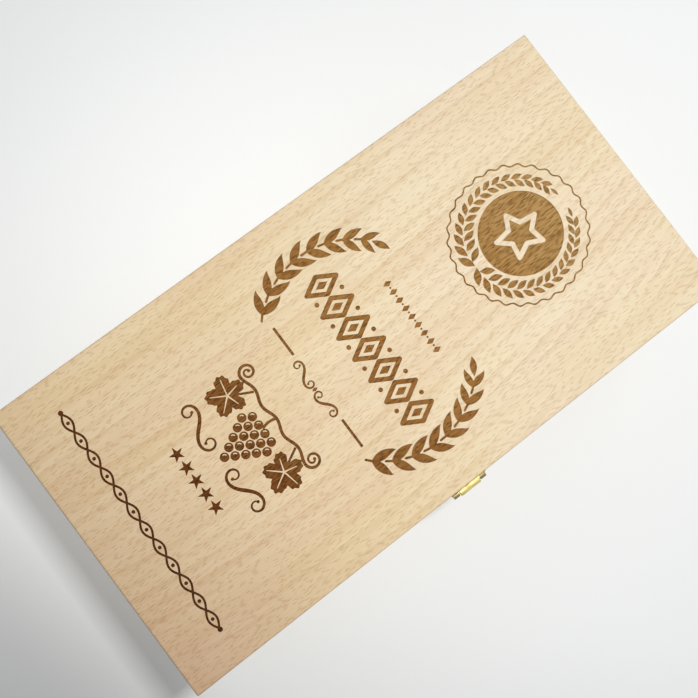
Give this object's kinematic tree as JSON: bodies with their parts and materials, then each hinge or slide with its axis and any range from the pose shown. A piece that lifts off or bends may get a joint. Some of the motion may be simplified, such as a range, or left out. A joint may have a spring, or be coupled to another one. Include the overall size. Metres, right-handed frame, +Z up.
{
  "type": "two-bottle wine box",
  "caption": "Flat wooden gift box with a hinged lid, brass latch and engraved top, divided inside for wine bottles lying side by side.",
  "frame": {"origin": "middle of the underside of the closed box", "axes": "+X along the box's length, -Y towards the front with the latch, +Z up"},
  "size_m": [0.36, 0.1893, 0.096],
  "materials": {
    "beech_plywood": "thin smooth panel, bare, fine flecks",
    "beech_board": "planed and sanded solid board, bare",
    "brass": "plated bright brass, lightly handled"
  },
  "bodies": {
    "base": {"bottom_panel": "beech_plywood", "front_wall": "beech_board", "back_wall": "beech_board", "left_wall": "beech_board", "right_wall": "beech_board", "divider": "beech_plywood", "front_neck_rest": "beech_board", "back_neck_rest": "beech_board", "left_hinge_base_leaf": "brass", "right_hinge_base_leaf": "brass", "left_hinge_pin": "brass", "right_hinge_pin": "brass", "base_hinge_screws": "brass", "catch_plate": "brass", "catch_nails": "brass"},
    "lid": {"lid_panel": "beech_plywood", "lid_front_rail": "beech_board", "lid_back_rail": "beech_board", "lid_left_rail": "beech_board", "lid_right_rail": "beech_board", "left_hinge_lid_leaf": "brass", "right_hinge_lid_leaf": "brass", "lid_hinge_screws": "brass", "latch_plate": "brass", "latch_pin": "brass", "latch_nails": "brass"},
    "latch_tongue": {"latch_tongue": "brass"}
  },
  "joints": [
    {"name": "lid_hinge", "type": "hinge", "parent": "base", "child": "lid", "pos_m": [0, 0.092, 0.076], "axis": [-1, 0, 0], "range_deg": [0, 190]},
    {"name": "latch_swing", "type": "hinge", "parent": "lid", "child": "latch_tongue", "pos_m": [0, -0.09295, 0.0825], "axis": [-1, 0, 0], "range_deg": [0, 180]}
  ]
}
